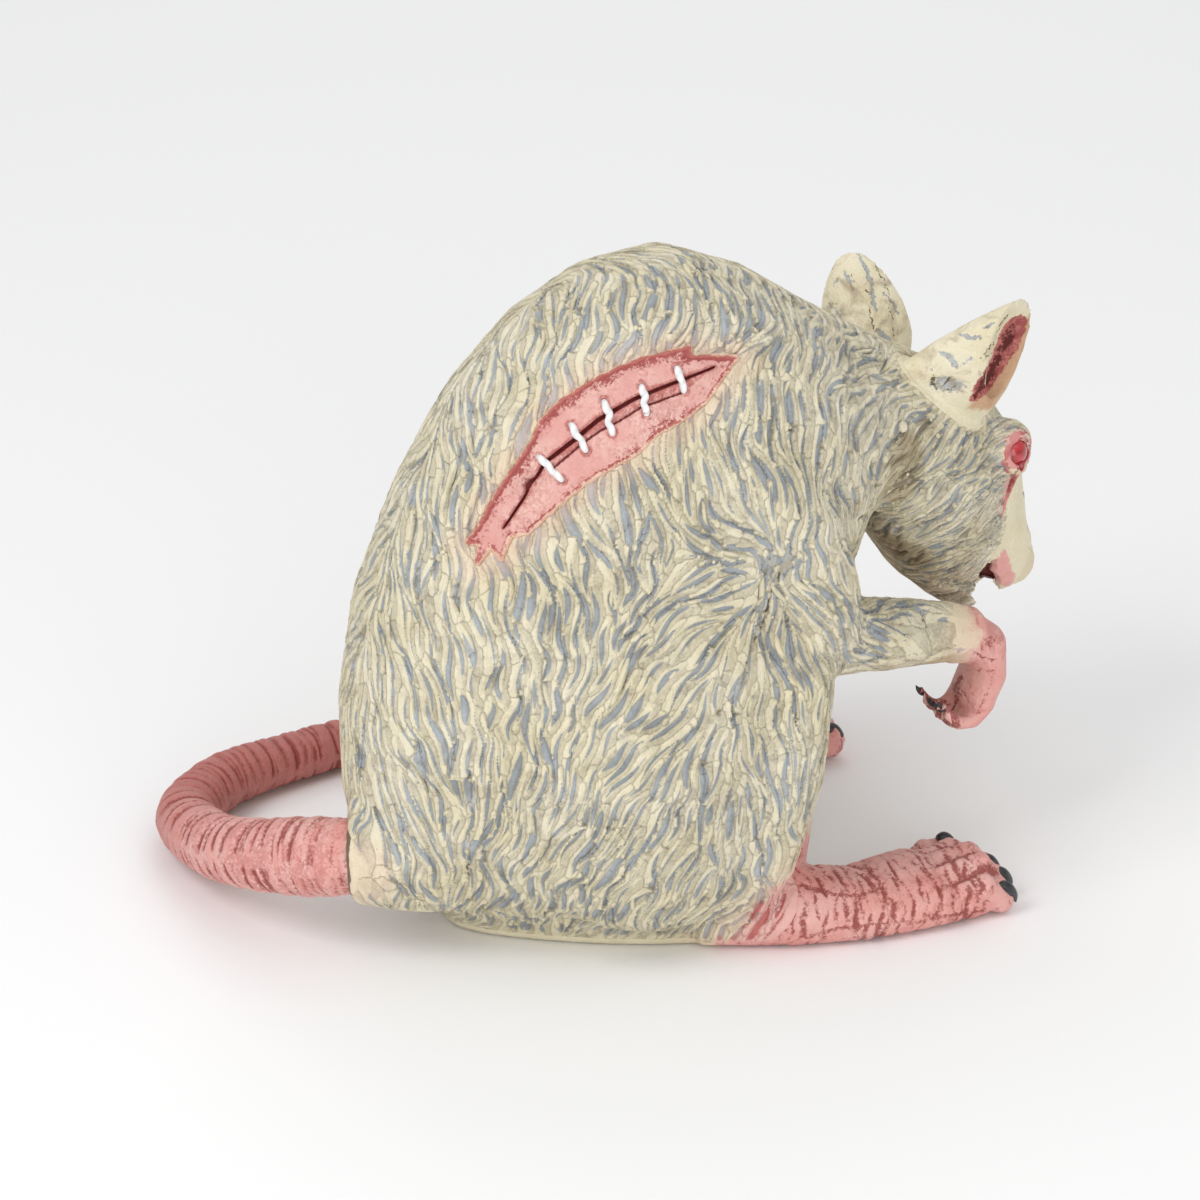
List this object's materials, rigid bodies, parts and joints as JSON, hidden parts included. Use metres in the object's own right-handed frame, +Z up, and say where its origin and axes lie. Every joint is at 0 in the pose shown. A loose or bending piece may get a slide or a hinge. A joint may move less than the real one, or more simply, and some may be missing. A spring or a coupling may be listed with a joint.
{
  "type": "novelty rat figure",
  "caption": "Cast and hand-painted novelty rat, sitting hunched over its raised forepaws, with a long ringed tail and a stitched wound in its right flank.",
  "frame": {"origin": "on the floor, in the flat underside of the torso", "axes": "+X the way the rat faces, +Y its left, +Z up"},
  "size_m": [0.2269, 0.1559, 0.1708],
  "materials": {
    "cream_coat": "matt hand-painted cream coat, with a blue-grey wash in its hollows",
    "pink_skin": "matt hand-painted pink, with a dark red wash in its creases and black claws",
    "red_eye": "glossy red paint",
    "raw_wound": "satin pink and dark red paint",
    "white_cord": "satin white paint"
  },
  "bodies": {
    "root": {"ear_left": "cream_coat", "ear_right": "cream_coat", "eye_left": "red_eye", "eye_right": "red_eye", "foot_left": "pink_skin", "foot_right": "pink_skin", "forearm_left": "cream_coat", "forearm_right": "cream_coat", "hand_left": "pink_skin", "hand_right": "pink_skin", "head": "cream_coat", "jaw": "cream_coat", "neck": "cream_coat", "stitch_1": "white_cord", "stitch_2": "white_cord", "stitch_3": "white_cord", "stitch_4": "white_cord", "stitch_5": "white_cord", "tail_1": "pink_skin", "tail_2": "pink_skin", "tail_3": "pink_skin", "tail_4": "pink_skin", "tail_5": "pink_skin", "thigh_left": "cream_coat", "thigh_right": "cream_coat", "torso": "cream_coat", "upper_arm_left": "cream_coat", "upper_arm_right": "cream_coat", "wound": "raw_wound"}
  },
  "joints": []
}
